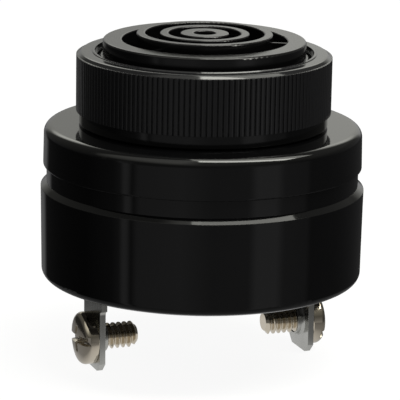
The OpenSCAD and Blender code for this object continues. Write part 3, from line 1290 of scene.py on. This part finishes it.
        scene.world.use_nodes = True
        tree = scene.world.node_tree
        tree.nodes.clear()
        path = add_node(tree, "ShaderNodeLightPath").outputs
        around = add_node(
            tree,
            "ShaderNodeBackground",
            {"Color": self.add_surroundings(tree)},
            {"Strength": 1.0},
        ).outputs["Background"]
        white = add_node(
            tree,
            "ShaderNodeBackground",
            values={"Color": linear("#ffffff"), "Strength": 1.0},
        ).outputs["Background"]
        surface = add_node(
            tree,
            "ShaderNodeMixShader",
            {0: path["Is Camera Ray"], 1: around, 2: white},
        ).outputs[0]
        add_node(tree, "ShaderNodeOutputWorld", {"Surface": surface})

    def build(self) -> None:
        """Makes the floor, the world and each lamp."""
        self.build_floor()
        self.build_world()
        for lamp in self.lamps:
            lamp.build(self.front_azimuth_deg)
        bpy.context.scene.view_settings.view_transform = "Standard"


FINISHES = {
    # ABS from a polished tool, with a satin grille: mirror dark, softer above, with
    # painted sheen there as a lighter colour
    "front_moulding": FrontMoulding(
        "moulded_abs_front", "#060607", "#0a0a0b", 0.07, 0.01, relief_mm=0.0002
    ),
    # ABS: painted sheen, a lighter colour, on the teeth and the top, and the
    # collar under them left darker, as painted shade
    "nut_moulding": SteppedFinish(
        "moulded_abs_nut",
        "#060607",
        "#09090a",
        0.1,
        0.02,
        relief_mm=0.0005,
        step_mm=1.95,
        satin=0.085,
        painted_sheen="#19191b",
    ),
    # ABS from a polished tool: the walls mirror the studio
    "case_moulding": Finish(
        "moulded_abs_case", "#050506", "#080809", 0.06, 0.01, relief_mm=0.0002
    ),
    "cover_moulding": Finish("moulded_abs_cover", "#0a0a0c", "#0e0e10", 0.15),
    # brass strip, tinned before it was punched: dull grey with rolling lines
    "tinned_brass": Finish(
        "tinned_brass_strip",
        "#b0b0ac",
        "#92918b",
        0.24,
        0.07,
        1.0,
        surface=Surface.ROLLED,
        relief_mm=0.003,
    ),
    # steel, cold headed, rolled and nickel plated: warm and fairly bright
    "nickel_plated_steel": Finish(
        "nickel_plated_steel",
        "#cfc6b6",
        "#b3a68f",
        0.12,
        0.05,
        1.0,
        surface=Surface.TURNED,
    ),
    # cut rubber sheet
    "gasket_rubber": Finish("cut_rubber_sheet", "#c2bbb0", "#b0a89c", 0.8, 0.05),
    # rolled brass sheet, slightly tarnished
    "plate_brass": Finish(
        "rolled_brass_sheet",
        "#dcc184",
        "#b8924a",
        0.28,
        0.06,
        1.0,
        surface=Surface.ROLLED,
    ),
    # fired piezo ceramic: chalky and matte
    "piezo_ceramic": Finish("fired_ceramic", "#e6e2d6", "#d8d2c2", 0.65, 0.08),
    # screen printed silver paste: dull and slightly speckled
    "electrode_silver": Finish(
        "printed_silver", "#e2e2e0", "#cfcecb", 0.45, 0.08, 1.0, relief_mm=0.004
    ),
    "inner_moulding": Finish("moulded_abs_ring", "#1c1c1e", "#222224", 0.45, 0.05),
    # glass cloth laminate under solder mask: the weave shows faintly
    "board_laminate": BandedFinish(
        "masked_laminate",
        "#1d5a2a",
        "#17491f",
        0.3,
        0.05,
        pitch_mm=0.5,
        across="Y",
        band="#1a5226",
        band_mm=0.004,
    ),
    "ferrite": Finish("sintered_ferrite", "#2b2b2d", "#343436", 0.55, 0.08),
    # enamelled wire, wound tight: one ridge a turn, with painted shade as a dark band in
    # each groove
    "copper_wire": BandedFinish(
        "enamelled_wire",
        "#b5602f",
        "#9a4a20",
        0.25,
        0.05,
        1.0,
        pitch_mm=0.25,
        band="#4a1f0c",
        band_mm=0.08,
    ),
    "capacitor_sleeve": Finish("shrunk_sleeve", "#1c2233", "#232a3d", 0.35, 0.05),
    "component_epoxy": Finish("moulded_epoxy", "#141416", "#1b1b1d", 0.5, 0.06),
    "leg_metal": Finish("tinned_wire", "#cfcfcd", "#b9b9b6", 0.3, 0.06, 1.0),
    # lacquer with printed value rings
    "resistor_coat": BandedFinish(
        "resistor_lacquer",
        "#cdb08a",
        "#bf9f75",
        0.3,
        0.05,
        pitch_mm=0.9,
        across="Y",
        band="#5a2a14",
        band_mm=0.005,
    ),
    "lead_black": Finish("extruded_pvc_black", "#0d0d0e", "#141415", 0.45, 0.05),
    "lead_red": Finish("extruded_pvc_red", "#a01812", "#8c120d", 0.45, 0.05),
    "solder": Finish("reflowed_solder", "#d8d8d4", "#c2c2bd", 0.2, 0.06, 1.0),
}


class Buzzer:
    """The dressed sounder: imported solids, their finishes, the nut and the screws."""

    def __init__(self, frame: dict[str, object]) -> None:
        """Keeps the frame and has no material made yet.
        """
        self.nodes = frame["nodes"]
        self.slots = {
            part["node"]: part["material_slot"] for part in frame["record"]["subparts"]
        }
        self.built: dict[str, bpy.types.Material] = {}

    def material(self, slot: str) -> bpy.types.Material:
        """Returns the slot's material and makes it the first time."""
        if slot not in self.built:
            self.built[slot] = FINISHES[slot].build()
        return self.built[slot]

    def dress(self) -> None:
        """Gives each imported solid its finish."""
        for name, solid in self.nodes.items():
            solid.data.materials.clear()
            solid.data.materials.append(self.material(self.slots[name]))
            LOG.info("dressed %s", name)

    def add_pieces(self) -> None:
        """Puts the knurled nut and threaded screws in place of the plain ones."""
        for made in (
            KnurledNut(),
            ClampScrew("screw_left", "left_screw", -1, -84),
            ClampScrew("screw_right", "right_screw", 1, -62),
        ):
            piece = made.build()
            piece.data.materials.append(self.material(self.slots[made.node]))
            LOG.info("made %s", piece.name)


def main() -> None:
    """Builds the camera, the studio and the dressed buzzer."""
    logging.basicConfig(level=logging.INFO)
    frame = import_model()
    cad_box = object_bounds()
    Viewpoint().build()
    Studio(floor_z=cad_box[0][2]).build()
    buzzer = Buzzer(frame)
    buzzer.dress()
    buzzer.add_pieces()


if __name__ == "__main__":
    main()
